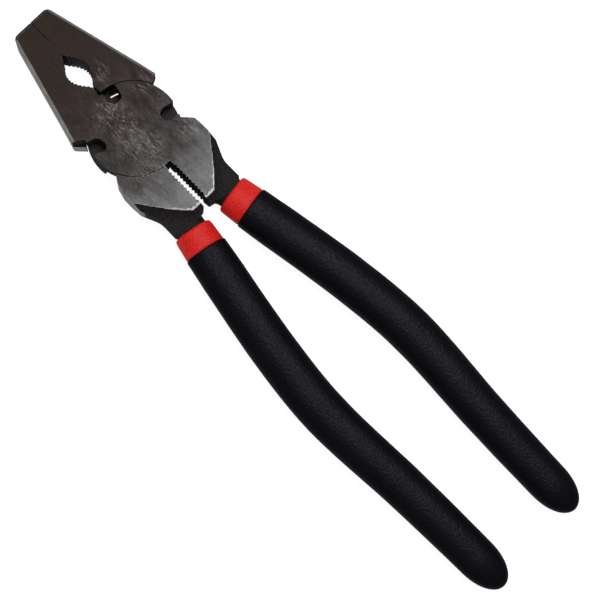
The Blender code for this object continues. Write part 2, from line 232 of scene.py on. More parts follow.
BLACK_SECTIONS = 220
DOME_SECTIONS = 32
DOME_STOP = 0.6
DIP_POINTS = 80
DIP_SINK = 0.14
DIP_SAG = 0.05
DIP_SAG_RATES = (1.1, 0.11)
RING_POWER = 2.3

# Up to what angle between faces, in degrees, the shading runs smoothly over an edge
LEVER_SMOOTH = 36.0
RIVET_SMOOTH = 30.0
DIP_SMOOTH = 60.0

# Looks: noises of the steel as (stretch, rate per mm, detail, roughness, turn)
STEEL_NOISES = {
    "blotch": ((1.0, 0.5, 1.0), 0.16, 3.0, 0.5, 0.0),
    "tint": ((1.0, 0.6, 1.0), 0.22, 2.0, 0.5, 0.0),
    "cloud": ((1.0, 0.55, 1.0), 0.3, 4.0, 0.6, 0.2),
    "streak": ((1.0, 0.05, 1.0), 1.6, 4.0, 0.6, 0.03),
    "scratch": ((1.0, 0.09, 1.0), 1.1, 5.0, 0.7, -0.12),
    "speck": ((1.0, 0.7, 1.0), 1.5, 4.0, 0.7, 0.5),
    "hairline": ((1.0, 0.2, 1.0), 1.9, 3.0, 0.55, -0.12),
    "crossing": ((1.0, 0.3, 1.0), 1.7, 3.0, 0.55, 1.0),
    "pitted": ((1.0, 0.8, 1.0), 1.3, 3.0, 0.5, 0.3),
    "cluster": ((1.0, 0.6, 1.0), 0.22, 3.0, 0.6, 0.0),
    "ground": ((0.3, 0.04, 1.0), 2.2, 3.0, 0.6, 0.02),
    "scale": ((1.0, 1.0, 1.0), 1.3, 5.0, 0.65, 0.0),
}
EVEN = (1.0, 1.0, 1.0)

# Screen colours of the ground faces, from the tip of the jaws (0) to the feet of the wings (1)
FACE_TONES_Y = (51.0, -35.0)
FACE_TONES = (
    (0.0, (56, 47, 39)),
    (0.24, (55, 46, 42)),
    (0.40, (58, 51, 48)),
    (0.52, (60, 54, 51)),
    (0.66, (66, 62, 60)),
    (0.75, (72, 68, 67)),
    (0.80, (82, 80, 79)),
    (0.84, (100, 98, 98)),
    (0.87, (108, 107, 107)),
    (0.93, (122, 121, 121)),
    (1.0, (128, 127, 127)),
)

# Spots of the front face, and their reach, where use has scuffed the steel lighter
RUBBED_SPOTS = (((13.5, -12.5), 6.0), ((4.5, 23.0), 6.0), ((12.5, 9.0), 5.0), ((-3.0, 12.0), 8.0))
RUBBED_CORE = 0.5

# Stage, in metres
FLOOR_HALF = 3.0
FLOOR_Y = -0.08
FLOOR_DROP = 0.0001
FLOOR_GLOW = 0.93
KEY_PLACE = (0.2, 0.03, 0.9)
KEY_TARGET = (0.0, -0.08, 0.0)
KEY_SIZE = 0.35
KEY_POWER = 5.0
STUDIO_POWER = 0.3
CAMERA_EYE = (-0.0911, -0.1193, 0.7702)
CAMERA_TARGET = (0.0004, -0.0822, 0.0095)
CAMERA_UP = (0.6995, 0.7147, 0.0)
CAMERA_LENS = 133.2
CAMERA_SENSOR = 36.0


# ---------------------------------------------------------------- outlines and solids


def rounded(corners, steps=8):
    """A closed outline from corners (x, y, radius), each radius turned into an arc."""
    outline = []
    for i, (x, y, radius) in enumerate(corners):
        if not radius:
            outline.append((x, y))
            continue
        before = corners[i - 1]
        after = corners[(i + 1) % len(corners)]
        to_before = math.atan2(before[1] - y, before[0] - x)
        to_after = math.atan2(after[1] - y, after[0] - x)
        between = (to_after - to_before + math.pi) % math.tau - math.pi
        middle = to_before + between / 2
        away = radius / abs(math.sin(between / 2))
        centre_x = x + away * math.cos(middle)
        centre_y = y + away * math.sin(middle)
        sweep = math.copysign(math.pi, between) - between
        start = middle + math.pi + sweep / 2
        for k in range(steps + 1):
            angle = start - sweep * k / steps
            outline.append((centre_x + radius * math.cos(angle), centre_y + radius * math.sin(angle)))
    return outline


def circle(radius, segments, centre=(0.0, 0.0)):
    turns = [math.tau * (k + 0.5) / segments for k in range(segments)]
    return [(centre[0] + radius * math.cos(a), centre[1] + radius * math.sin(a)) for a in turns]


def prism(outline, low, high):
    bm = bmesh.new()
    floor = bm.faces.new([bm.verts.new((x, y, low)) for x, y in outline])
    made = bmesh.ops.extrude_face_region(bm, geom=[floor])["geom"]
    top = [item for item in made if isinstance(item, bmesh.types.BMVert)]
    bmesh.ops.translate(bm, vec=(0.0, 0.0, high - low), verts=top)
    return bm


def teeth(start, end, count, depth, place):
    """Points of a saw edge: valleys and crests by turns, put in place by a function of y."""
    points = []
    for k in range(2 * count + 1):
        y = start + (end - start) * k / (2 * count)
        points.append(place(y, depth if k % 2 else 0.0))
    return points


def jaw_outline(shoulder):
    """The left jaw from the parting line round the tip to the shoulder, then inside the disc."""

    def grip_edge(y, depth):
        half = GRIP_HALF_WIDTH * math.sin(math.pi * (y - GRIP_LOW_Y) / (GRIP_HIGH_Y - GRIP_LOW_Y))
        return (-max(half + depth - GRIP_TOOTH_DEPTH / 2, GAP / 2 + depth), y)

    (corner_x, corner_y), inner = shoulder
    flank_y = corner_y + SHOULDER_LENGTH
    flank_x = -TIP_HALF_WIDTH - JAW_SLOPE * (JAW_LENGTH - flank_y)
    saw = teeth(GRIP_LOW_Y, GRIP_HIGH_Y, GRIP_TEETH, GRIP_TOOTH_DEPTH, grip_edge)
    inner_edge = [(*JAW_ROOT[1], 0), (-THROAT_HALF_GAP, GRIP_LOW_Y - GRIP_TOOTH_DEPTH, 0)]
    inner_edge += [(*point, 0) for point in saw]
    outer_edge = [
        (-GAP / 2, JAW_LENGTH, 0),
        (-TIP_HALF_WIDTH, JAW_LENGTH, TIP_CORNER_RADIUS),
        (flank_x, flank_y, 0),
        (corner_x, corner_y, SHOULDER_RADIUS),
        (*inner, 0),
        (*JAW_ROOT[0], 0),
    ]
    return rounded(inner_edge + outer_edge)


def jaw_envelope(shoulder):
    """A convex block whose bevelled sides chamfer the jaw's tip and flank."""
    over = ENVELOPE_PROUD
    (corner_x, corner_y), _ = shoulder
    slant = math.hypot(1.0, JAW_SLOPE)
    flank_y = corner_y + SHOULDER_LENGTH
    flank_x = -TIP_HALF_WIDTH - JAW_SLOPE * (JAW_LENGTH - flank_y)
    heel_slope = (flank_x - corner_x) / SHOULDER_LENGTH
    bm = bmesh.new()
    rings = []
    for z, inset in (
        (-HALF_THICK - over, JAW_CHAMFER + over),
        (-HALF_THICK + JAW_CHAMFER + over, -over),
        (HALF_THICK - JAW_CHAMFER - over, -over),
        (HALF_THICK + over, JAW_CHAMFER + over),
    ):
        tip_y = JAW_LENGTH - inset
        tip_x = -TIP_HALF_WIDTH + inset * (slant - JAW_SLOPE)
        bend_x = flank_x + inset * slant
        corners = (
            (ENVELOPE_SIDE, tip_y, 0),
            (tip_x, tip_y, TIP_CORNER_RADIUS - inset),
            (bend_x, flank_y, 0),
            (bend_x + heel_slope * (ENVELOPE_HEEL_Y - flank_y), ENVELOPE_HEEL_Y, 0),
            (ENVELOPE_SIDE, ENVELOPE_HEEL_Y, 0),
        )
        rings.append([bm.verts.new((x, y, z)) for x, y in rounded(corners)])
    for one, other in zip(rings, rings[1:]):
        for k in range(len(one)):
            after = (k + 1) % len(one)
            bm.faces.new((one[k], one[after], other[after], other[k]))
    bm.faces.new(rings[0])
    bm.faces.new(rings[-1])
    return bm


def wing_outline(wing_top):
    """The right wing from inside the disc down the toothed inner edge and up the outer edge."""

    def wing_edge(y, depth):
        return (WING_GAP + depth, y)

    neck, (top_x, top_y) = wing_top
    saw = teeth(*WING_TEETH_Y, WING_TEETH, WING_TOOTH_DEPTH, wing_edge)
    inner_edge = [(*WING_ROOT[1], 0)] + [(*point, 0) for point in saw]
    outer_edge = [
        (WING_HALF_WIDTH, top_y - WING_TOP_EASE, WING_TOP_EASE),
        (top_x, top_y, WING_TOP_RADIUS),
        (*neck, 0),
        (*WING_ROOT[0], 0),
    ]
    return rounded(inner_edge + list(WING_FOOT) + outer_edge)


def flat_edge(x):
    """Where the ground face ends at x, without its ripple."""
    share = max(0.0, (x - FLAT_BEND_X) / (FLAT_SIDE[0] - FLAT_BEND_X))
    return FLAT_END_Y + (FLAT_SIDE[1] - FLAT_END_Y) * share - FLAT_BULGE * math.sin(math.pi * share)


def flat_ripple(x, phase):
    slow, fast = FLAT_RIPPLE_RATES
    return FLAT_RIPPLE * (math.sin(slow * x + phase) + math.sin(fast * x + 2 * phase))


def forged_blank():
    """The wing's top and bottom: above the faces up to where grinding stops, then falling away."""
    start_x, start_y = BLANK_START
    columns = [start_x + BLANK_PITCH * k for k in range(BLANK_COLUMNS)]
    last_y = WING_END_Y - CUT_PAST
    bm = bmesh.new()
    sheets = []
    for side in (1, -1):
        rows = []
        for x in columns:
            edge_y = flat_edge(x)
            ripple = flat_ripple(x, side)
            heights = [(start_y, BLANK_TOP), (edge_y + ripple + BLANK_STEP, BLANK_TOP)]
            heights.append((edge_y + ripple, HALF_THICK))
            for row in BLANK_ROWS:
                y = edge_y - row * min(1.0, (edge_y - last_y) / BLANK_ROWS[-1])
                height = HALF_THICK - FORGED_DROP * (1 - math.exp((y - edge_y) / FORGED_RUN))
                heights.append((y + ripple * math.exp(-row / RIPPLE_FADE), height))
            heights.append((last_y - CUT_PAST, heights[-1][1]))
            rows.append([bm.verts.new((x, y, side * z)) for y, z in heights])
        sheets.append(rows)
    top, bottom = sheets
    across = len(columns)
    along = len(top[0])
    for rows in sheets:
        for i in range(across - 1):
            for j in range(along - 1):
                bm.faces.new((rows[i][j], rows[i + 1][j], rows[i + 1][j + 1], rows[i][j + 1]))
    for i in range(across - 1):
        for j in (0, along - 1):
            bm.faces.new((top[i][j], top[i + 1][j], bottom[i + 1][j], bottom[i][j]))
    for j in range(along - 1):
        for i in (0, across - 1):
            bm.faces.new((top[i][j], top[i][j + 1], bottom[i][j + 1], bottom[i][j]))
    return bm


def handle_x(y):
    """The handle's centre line, a Catmull-Rom curve through HANDLE_LINE."""
    last = len(HANDLE_LINE) - 2
    i = next((k for k in range(last) if y > HANDLE_LINE[k + 1][1]), last)
    x0, y0 = HANDLE_LINE[max(i - 1, 0)]
    x1, y1 = HANDLE_LINE[i]
    x2, y2 = HANDLE_LINE[i + 1]
    x3, y3 = HANDLE_LINE[min(i + 2, last + 1)]
    t = (y - y1) / (y2 - y1)
    slope1 = (x2 - x0) / (y2 - y0) * (y2 - y1)
    slope2 = (x3 - x1) / (y3 - y1) * (y2 - y1)
    return (
        x1 * (2 * t**3 - 3 * t**2 + 1)
        + slope1 * (t**3 - 2 * t**2 + t)
        + x2 * (3 * t**2 - 2 * t**3)
        + slope2 * (t**3 - t**2)
    )


def size_at(stations, y):
    """Width and thickness at y, from stations (y, width, thickness) listed towards the end."""
    if y >= stations[0][0]:
        return stations[0][1:]
    for (y1, w1, t1), (y2, w2, t2) in zip(stations, stations[1:]):
        if y >= y2:
            share = (y - y1) / (y2 - y1)
            return w1 + (w2 - w1) * share, t1 + (t2 - t1) * share
    return stations[-1][1:]


def squared(share):
    """Turns a circle's sine or cosine into a slightly squarer oval's."""
    return math.copysign(abs(share) ** (2 / RING_POWER), share)


def loft(stations, points, uneven=None):
    """A closed skin through the sections (y, width, thickness), capped at both ends."""
    bm = bmesh.new()
    rings = []
    for y, width, thick in stations:
        lean = math.atan(handle_x(y + 0.5) - handle_x(y - 0.5))
        ring = []
        for k in range(points):
            angle = math.tau * k / points
            dent = uneven(y, angle) if uneven else 0.0
            across = squared(math.cos(angle)) * max(width / 2 - dent, 0.0)
            up = squared(math.sin(angle)) * max(thick / 2 - dent, 0.0)
            x = handle_x(y) + across * math.cos(lean)
            ring.append(bm.verts.new((x, y - across * math.sin(lean), up)))
        rings.append(ring)
    for one, other in zip(rings, rings[1:]):
        for k in range(points):
            after = (k + 1) % points
            bm.faces.new((one[k], one[after], other[after], other[k]))
    bm.faces.new(rings[0])
    bm.faces.new(rings[-1])
    return bm


def slot_outline(steps=12):
    """A slot bent round the pivot; its angles run from +Y towards the jaw of its own half."""
    inner_radius, outer_radius = SLOT_RADII
    start, end = SLOT_ANGLES
    angles = [math.radians(start + (end - start) * k / steps) for k in range(steps + 1)]
    outer = [(-outer_radius * math.sin(a), outer_radius * math.cos(a)) for a in angles]
    inner = [(-inner_radius * math.sin(a), inner_radius * math.cos(a)) for a in angles]
    return outer + inner[::-1]


def turned(profile, segments):
    """A solid turned about the pivot axis from (radius, z) points, closed by a face at each end."""
    bm = bmesh.new()
    rings = []
    for radius, z in profile:
        rings.append([bm.verts.new((x, y, z)) for x, y in circle(radius, segments)])
    for one, other in zip(rings, rings[1:]):
        for k in range(segments):
            after = (k + 1) % segments
            bm.faces.new((one[k], one[after], other[after], other[k]))
    bm.faces.new(rings[0])
    bm.faces.new(rings[-1])
    return bm


# ---------------------------------------------------------------- pieces


def plain_object(name, bm):
    bmesh.ops.recalc_face_normals(bm, faces=bm.faces)
    mesh = bpy.data.meshes.new(name)
    bm.to_mesh(mesh)
    bm.free()
    obj = bpy.data.objects.new(name, mesh)
    bpy.context.scene.collection.objects.link(obj)
    return obj


def combined(start, steps):
    """The mesh after each (shape, operation) in turn, as a bmesh; nothing else is left behind."""
    body = plain_object("work_body", start)
    tools = []
    for shape, operation in steps:
        tool = plain_object("work_tool", shape)
        modifier = body.modifiers.new("step", "BOOLEAN")
        modifier.object = tool
        modifier.operation = operation
        modifier.solver = "EXACT"
        tools.append(tool)
    graph = bpy.context.evaluated_depsgraph_get()
    bm = bmesh.new()
    bm.from_mesh(body.evaluated_get(graph).to_mesh())
    for obj in [body] + tools:
        mesh = obj.data
        bpy.data.objects.remove(obj)
        bpy.data.meshes.remove(mesh)
    return bm


def rim_loops(faces):
    """The closed loops of vertices round a level region, each with the region on the left of its run."""
    inside = set(faces)
    after = {}
    for face in faces:
        for corner in face.loops:
            if any(other not in inside for other in corner.edge.link_faces):
                after[corner.vert] = corner.link_loop_next.vert
    loops = []
    while after:
        loop = [next(iter(after))]
        while loop[-1] in after:
            loop.append(after.pop(loop[-1]))
        loops.append(loop[:-1])
    return loops


def wall_tilt(vert, inside):
    """How steeply the walls under a rim vertex fall: a quarter turn for upright ones."""
    slopes = [
        math.acos(min(1.0, abs(face.normal.z)))
        for face in vert.link_faces
        if face not in inside and abs(face.normal.z) < WALL_NORMAL
    ]
    return sum(slopes) / len(slopes) if slopes else math.pi / 2


def level_faces(bm, side, level):
    """The faces at z = side * level that look straight out."""
    out = [face for face in bm.faces if face.normal.z * side > LEVEL_NORMAL]
    return [face for face in out if abs(face.calc_center_median().z - side * level) < LEVEL_SLACK]


def inward_steps(loop, side, width):
    """For each vertex of a rim, the step into the level region that keeps width from its edges."""
    steps = []
    for i, vert in enumerate(loop):
        before = (vert.co - loop[i - 1].co).normalized()
        behind = (loop[(i + 1) % len(loop)].co - vert.co).normalized()
        one = Vector((-before.y, before.x, 0.0)) * side
        other = Vector((-behind.y, behind.x, 0.0)) * side
        steps.append((one + other) / max(MITRE_LIMIT, 1 + one.dot(other)) * width)
    return steps


def rim_arcs(bm, loop, inside, side, width):
    """A rounding over one rim: its feet on the walls, and rows of new vertices up to the face."""
    steps = inward_steps(loop, side, width)
    feet = []
    for vert, inward in zip(loop, steps):
        tilt = wall_tilt(vert, inside)
        drop = Vector((0.0, 0.0, -side * width * math.sin(tilt)))
        feet.append(vert.co - inward * math.cos(tilt) + drop)
    tops = [vert.co + inward for vert, inward in zip(loop, steps)]
    rows = []
    for share in RIM_SHARES:
        row = []
        for vert, foot, top in zip(loop, feet, tops):
            spot = foot * (1 - share) ** 2 + vert.co * 2 * share * (1 - share) + top * share**2
            row.append(bm.verts.new(spot))
        rows.append(row)
    return feet, rows


def round_rims(bm, width, level):
    """Rounds the rim of the level faces at z = level and at -level, and marks it in edge_wear."""
    wear = bm.verts.layers.float.get("edge_wear") or bm.verts.layers.float.new("edge_wear")
    for side in (1, -1):
        faces = level_faces(bm, side, level)
        inside = set(faces)
        rims = [(loop, *rim_arcs(bm, loop, inside, side, width)) for loop in rim_loops(faces)]
        bmesh.ops.delete(bm, geom=faces, context="FACES_ONLY")
        fill = []
        for loop, feet, rows in rims:
            for vert, foot in zip(loop, feet):
                vert.co = foot
            for lower, upper in zip([loop] + rows[:-1], rows):
                for i, vert in enumerate(lower):
                    j = (i + 1) % len(loop)
                    bm.faces.new((vert, lower[j], upper[j], upper[i]))
                    vert[wear] = 1.0
            last = rows[-1]
            fill += [bm.edges.get((last[i - 1], last[i])) for i in range(len(last))]
        bmesh.ops.triangle_fill(bm, use_beauty=True, edges=fill, normal=(0.0, 0.0, side))
        loose = [edge for edge in bm.edges if not edge.link_faces]
        bmesh.ops.delete(bm, geom=loose, context="EDGES")


def place(bm, front):
    """Puts a shape of one half in its place in the tool, in metres."""
    turn = Matrix.Identity(4) if front else Matrix.Rotation(math.pi, 4, "Y")
    bm.transform(Matrix.Scale(MM, 4) @ Matrix.Translation((0.0, 0.0, HALF_THICK)) @ turn)


def flat_normals(obj):
    """Weights normals by area, so that large flat faces shade flat up to their rounded edges."""
    modifier = obj.modifiers.new("normals", "WEIGHTED_NORMAL")
    modifier.mode = "FACE_AREA"
    modifier.keep_sharp = True


def piece(name, bm, front, body, node, slot, material, smooth_angle):
    place(bm, front)
    obj = plain_object(name, bm)
    obj.data.materials.append(material)
    obj.data.shade_smooth()
    obj.data.set_sharp_from_angle(angle=math.radians(smooth_angle))
    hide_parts(node)
    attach(obj, body)
    if slot.endswith("steel"):
        flat_normals(obj)


def countersink():
    """The cone in a disc's outer face that holds the rivet's head."""
    shallow = HALF_THICK - RIVET_HEAD_DEPTH
    growth = (RIVET_HEAD_RADIUS - RIVET_RADIUS) / RIVET_HEAD_DEPTH
    low = (RIVET_RADIUS + GAP - growth * GAP, shallow - GAP)
    high = (RIVET_HEAD_RADIUS + GAP + growth * GAP, HALF_THICK + GAP)
    return turned([low, high], RIVET_SEGMENTS)


def tang_shape():
    sections = []
    start_y = TANG_STATIONS[0][0]
    for k in range(TANG_SECTIONS):
        y = start_y + (TANG_END_Y - start_y) * k / (TANG_SECTIONS - 1)
        sections.append((y, *size_at(TANG_STATIONS, y)))
    return loft(sections, TANG_POINTS)


def lever_shape(shoulder, wing_top, with_slot):
    """One forging. Each part stands above the head's faces, and a slab cuts them level together."""
    past = HALF_THICK + CUT_PAST
    jaw_top = HALF_THICK + JAW_PROUD
    disc_top = HALF_THICK + DISC_PROUD
    planform = prism(wing_outline(wing_top), -past, past)
    wing = combined(forged_blank(), [(planform, "INTERSECT")])
    hole = circle(THROAT_HOLE_RADIUS, THROAT_HOLE_SEGMENTS, (0.0, SEAM_RADIUS))
    steps = [
        (jaw_envelope(shoulder), "INTERSECT"),
        (wing, "UNION"),
        (tang_shape(), "UNION"),
        (prism(circle(DISC_RADIUS, DISC_SEGMENTS), -disc_top, disc_top), "UNION"),
        (prism(SLAB, -HALF_THICK, HALF_THICK), "INTERSECT"),
        (prism(circle(SEAM_RADIUS, DISC_SEGMENTS), -past, LAYER_FLOOR), "DIFFERENCE"),
        (prism(rounded(SHOULDER_NOTCH), 0.0, past), "DIFFERENCE"),
        (prism(rounded(SIDE_NOTCH), 0.0, past), "DIFFERENCE"),
        (prism(rounded(CENTRE_NOTCH), 0.0, past), "DIFFERENCE"),
        (prism(hole, -past, past), "DIFFERENCE"),
        (prism(circle(RIVET_RADIUS + GAP, RIVET_SEGMENTS), -past, past), "DIFFERENCE"),
        (countersink(), "DIFFERENCE"),
    ]
    if with_slot:
        steps.append((prism(slot_outline(), 0.0, past), "DIFFERENCE"))
    bm = combined(prism(jaw_outline(shoulder), -jaw_top, jaw_top), steps)
    bmesh.ops.remove_doubles(bm, verts=bm.verts, dist=WELD)
    bmesh.ops.dissolve_degenerate(bm, dist=SLIVER, edges=bm.edges)
    bm.normal_update()
    round_rims(bm, EDGE_ROUNDING, HALF_THICK)
    return bm


def rivet_shape():
    shallow = HALF_THICK - RIVET_HEAD_DEPTH
    fit = GAP - RIVET_FIT
    profile = [
        (RIVET_HEAD_RADIUS + fit, -HALF_THICK),
        (RIVET_RADIUS + fit, -shallow),
        (RIVET_RADIUS + fit, shallow),
        (RIVET_HEAD_RADIUS + fit, HALF_THICK),
    ]
    return turned(profile, RIVET_SEGMENTS)


def dip_surface(y, angle):
    """How far a dipped surface lies in from full size: slow runs and sags, never out."""
    around, along = DIP_SAG_RATES
    point = Vector((math.cos(angle) * around, math.sin(angle) * around, y * along))
    return DIP_SINK + DIP_SAG * noise.noise(point)


def red_surface(y, angle):
    return dip_surface(y, angle) - RED_RISE


def dome(y, width, thick, end_y):
    """A section's size once the end's rounding is taken off."""
    turn = max(0.0, (end_y + GRIP_DOME - y) / GRIP_DOME)
    shrink = max(0.0, 1 - turn**DOME_POWER) ** (1 / DOME_POWER)
    return width * shrink, thick * shrink


def black_shape(end_y):
    """The second dip: a lip at its mouth, the long grip, and a dome that stops short of a point."""
    end_y += END_SHRINK
    mouth_y = RED_EDGE_Y - GAP
    sections = []
    for back, less in BLACK_MOUTH:
        width, thick = size_at(GRIP_STATIONS, mouth_y - back)
        sections.append((mouth_y - back, width - less, thick - less))
    start_y = mouth_y - BLACK_MOUTH[-1][0]
    for k in range(1, BLACK_SECTIONS + 1):
        y = start_y + (end_y + GRIP_DOME - start_y) * k / BLACK_SECTIONS
        sections.append((y, *size_at(GRIP_STATIONS, y)))
    for k in range(1, DOME_SECTIONS + 1):
        y = end_y + GRIP_DOME * (1 - math.sin(math.pi / 2 * k / (DOME_SECTIONS + DOME_STOP)))
        sections.append((y, *dome(y, *size_at(GRIP_STATIONS, y), end_y)))
    return loft(sections, DIP_POINTS, dip_surface)


def red_shape():
    """The first dip: rounded at its mouth, a little wider towards the black one, and tucked into it."""
    lip_back, lip_less = RED_LIP
    round_back, round_less = RED_ROUNDING
    tuck_back, tuck_less = RED_TUCK
    sections = [(RED_MOUTH_Y - lip_back, RED_WIDTH - lip_less, RED_THICK - lip_less)]
    for k in range(9):
        turn = math.pi / 2 * k / 8
        less = round_less * (1 - math.sin(turn))
        y = RED_MOUTH_Y - round_back * (1 - math.cos(turn))
        sections.append((y, RED_WIDTH - less, RED_THICK - less))
    start_y = RED_MOUTH_Y - round_back
    last_y = RED_EDGE_Y - tuck_back
    for k in range(1, RED_SECTIONS + 1):
        y = start_y + (last_y - start_y) * k / RED_SECTIONS
        growth = RED_EDGE_GROWTH * min(1.0, (RED_MOUTH_Y - y) / (RED_MOUTH_Y - RED_EDGE_Y))
        less = 0.0 if y > RED_EDGE_Y - 0.1 else tuck_less
        sections.append((y, RED_WIDTH + growth - less, RED_THICK + growth - less))
    return loft(sections, DIP_POINTS, red_surface)


# ---------------------------------------------------------------- materials


def new_tree(name):
    material = bpy.data.materials.new(name)
    material.use_nodes = True
    return material, material.node_tree


def add(tree, kind, inputs=None, **settings):
    """Adds a node; inputs maps a socket's name or number to a value or to another node's socket."""
    node = tree.nodes.new(kind)
    for name, value in settings.items():
        setattr(node, name, value)
    for key, value in (inputs or {}).items():
        if isinstance(value, bpy.types.NodeSocket):
            tree.links.new(value, node.inputs[key])
        else:
            node.inputs[key].default_value = value
    return node


def maths(tree, operation, a, b=0.0, c=0.0, clamp=False):
    node = add(tree, "ShaderNodeMath", {0: a, 1: b, 2: c}, operation=operation, use_clamp=clamp)
    return node.outputs[0]


def step(tree, value, low, high):
    """Goes smoothly from 0 at low to 1 at high; low may be the larger number."""
    node = add(
        tree,
        "ShaderNodeMapRange",
        {"Value": value, "From Min": low, "From Max": high},
        interpolation_type="SMOOTHSTEP",
        clamp=True,
    )
    return node.outputs["Result"]


def mix(tree, share, a, b):
    node = tree.nodes.new("ShaderNodeMix")
    node.data_type = "RGBA"
    for socket, value in ((node.inputs[0], share), (node.inputs[6], a), (node.inputs[7], b)):
        if isinstance(value, bpy.types.NodeSocket):
            tree.links.new(value, socket)
        else:
            socket.default_value = value
    return node.outputs[2]


def lighten(tree, colour, factor):
    """Multiplies a colour by a number socket."""
    if isinstance(colour, tuple):
        colour = colour[:3]
    node = add(tree, "ShaderNodeVectorMath", {0: colour}, operation="SCALE")
    tree.links.new(factor, node.inputs["Scale"])
    return node.outputs[0]


def srgb(red, green, blue):
    """A colour given as screen values, turned into a linear one with full opacity."""
    linear = []
    for value in (red, green, blue):
        share = value / 255
        linear.append(share / 12.92 if share <= 0.04045 else ((share + 0.055) / 1.055) ** 2.4)
    return (*linear, 1.0)


def ramp(tree, value, stops):
    node = add(tree, "ShaderNodeValToRGB", {0: value})
    elements = node.color_ramp.elements
    while len(elements) < len(stops):
        elements.new(0.5)
    for element, (position, colour) in zip(elements, stops):
        element.position = position
        element.color = colour
    return node.outputs["Color"]


def millimetres(tree):
    """The point being shaded, in mm, and the direction that its surface looks in."""
    coords = add(tree, "ShaderNodeTexCoord")
    inputs = {0: coords.outputs["Object"], 1: (1 / MM,) * 3}
    scaled = add(tree, "ShaderNodeVectorMath", inputs, operation="MULTIPLY")
    return scaled.outputs[0], coords.outputs["Normal"]


def grain(tree, point, stretch, rate, detail, roughness, turn=0.0):
    """Noise over a point in mm, squeezed by stretch so that it runs in streaks."""
    inputs = {"Vector": point, "Rotation": (0.0, 0.0, turn), "Scale": stretch}
    mapped = add(tree, "ShaderNodeMapping", inputs)
    inputs = {"Vector": mapped.outputs[0], "Scale": rate, "Detail": detail, "Roughness": roughness}
    return add(tree, "ShaderNodeTexNoise", inputs).outputs[0]


def product(tree, *values):
    """Multiplies several numbers or number sockets."""
    total = values[0]
    for value in values[1:]:
        total = maths(tree, "MULTIPLY", total, value)
    return total


def swing(tree, value, reach, level):
    """Turns a noise, which keeps about 0.5, into one that keeps about level and swings by reach."""
    return maths(tree, "MULTIPLY_ADD", maths(tree, "SUBTRACT", value, 0.5), reach, level)


def rest_of(tree, share):
    """What a share leaves of 1."""
    return maths(tree, "SUBTRACT", 1.0, share)


def length(tree, x, y):
    """How far the point (x, y) is from the origin."""
    return maths(tree, "SQRT", maths(tree, "MULTIPLY_ADD", x, x, maths(tree, "MULTIPLY", y, y)))


def near(tree, at, spot, inner, outer):
    """1 within inner mm of a spot on the plane of the tool, falling to 0 at outer mm."""
    away_x = maths(tree, "SUBTRACT", at.x, spot[0])
    away_y = maths(tree, "SUBTRACT", at.y, spot[1])
    return step(tree, length(tree, away_x, away_y), outer, inner)


def dress(tree, colour, roughness, specular, bump):
    """Gives the shader its colour, roughness, shine, and bump as (height, strength, distance)."""
    shader = tree.nodes["Principled BSDF"]
    tree.links.new(colour, shader.inputs["Base Color"])
    tree.links.new(roughness, shader.inputs["Roughness"])
    shader.inputs["Specular IOR Level"].default_value = specular
    height, strength, distance = bump
    node = add(tree, "ShaderNodeBump", {"Height": height, "Strength": strength, "Distance": distance})
    tree.links.new(node.outputs[0], shader.inputs["Normal"])
    return shader


def steel_place(tree):
    """Where a point of the steel lies, in mm, and how far its surface looks along x and along z.

    away_x is its distance from the middle line, radius that from the pivot's axis, and depth how
    far it is below the nearer face of the head.
    """
    point, normal = millimetres(tree)
    x, y, z = add(tree, "ShaderNodeSeparateXYZ", {0: point}).outputs
    facing = add(tree, "ShaderNodeSeparateXYZ", {0: normal}).outputs
    from_middle = maths(tree, "ABSOLUTE", maths(tree, "SUBTRACT", z, HALF_THICK))
    return SimpleNamespace(
        point=point,
        x=x,
        y=y,
        away_x=maths(tree, "ABSOLUTE", x),
        radius=length(tree, x, y),
        depth=maths(tree, "SUBTRACT", HALF_THICK, from_middle),
        normal_x=maths(tree, "ABSOLUTE", facing[0]),
        normal_z=maths(tree, "ABSOLUTE", facing[2]),
    )


def face_tone(tree, at, noises):
    """The ground faces before any wear: browner and darker at the jaws, lighter at the wings."""
    along = swing(tree, noises.blotch, 12.0, at.y)
    along = maths(tree, "MULTIPLY_ADD", step(tree, at.away_x, 8.0, 18.0), -4.5, along)
    start_y, end_y = FACE_TONES_Y
    inputs = {"Value": along, "From Min": start_y, "From Max": end_y}
    share = add(tree, "ShaderNodeMapRange", inputs).outputs[0]
    tone = ramp(tree, share, [(position, srgb(*colour)) for position, colour in FACE_TONES])
    browned = maths(tree, "MULTIPLY", step(tree, at.y, -4.0, 14.0), step(tree, noises.tint, 0.44, 0.6))
    return mix(tree, maths(tree, "MULTIPLY", browned, 0.5), tone, srgb(58, 43, 45))


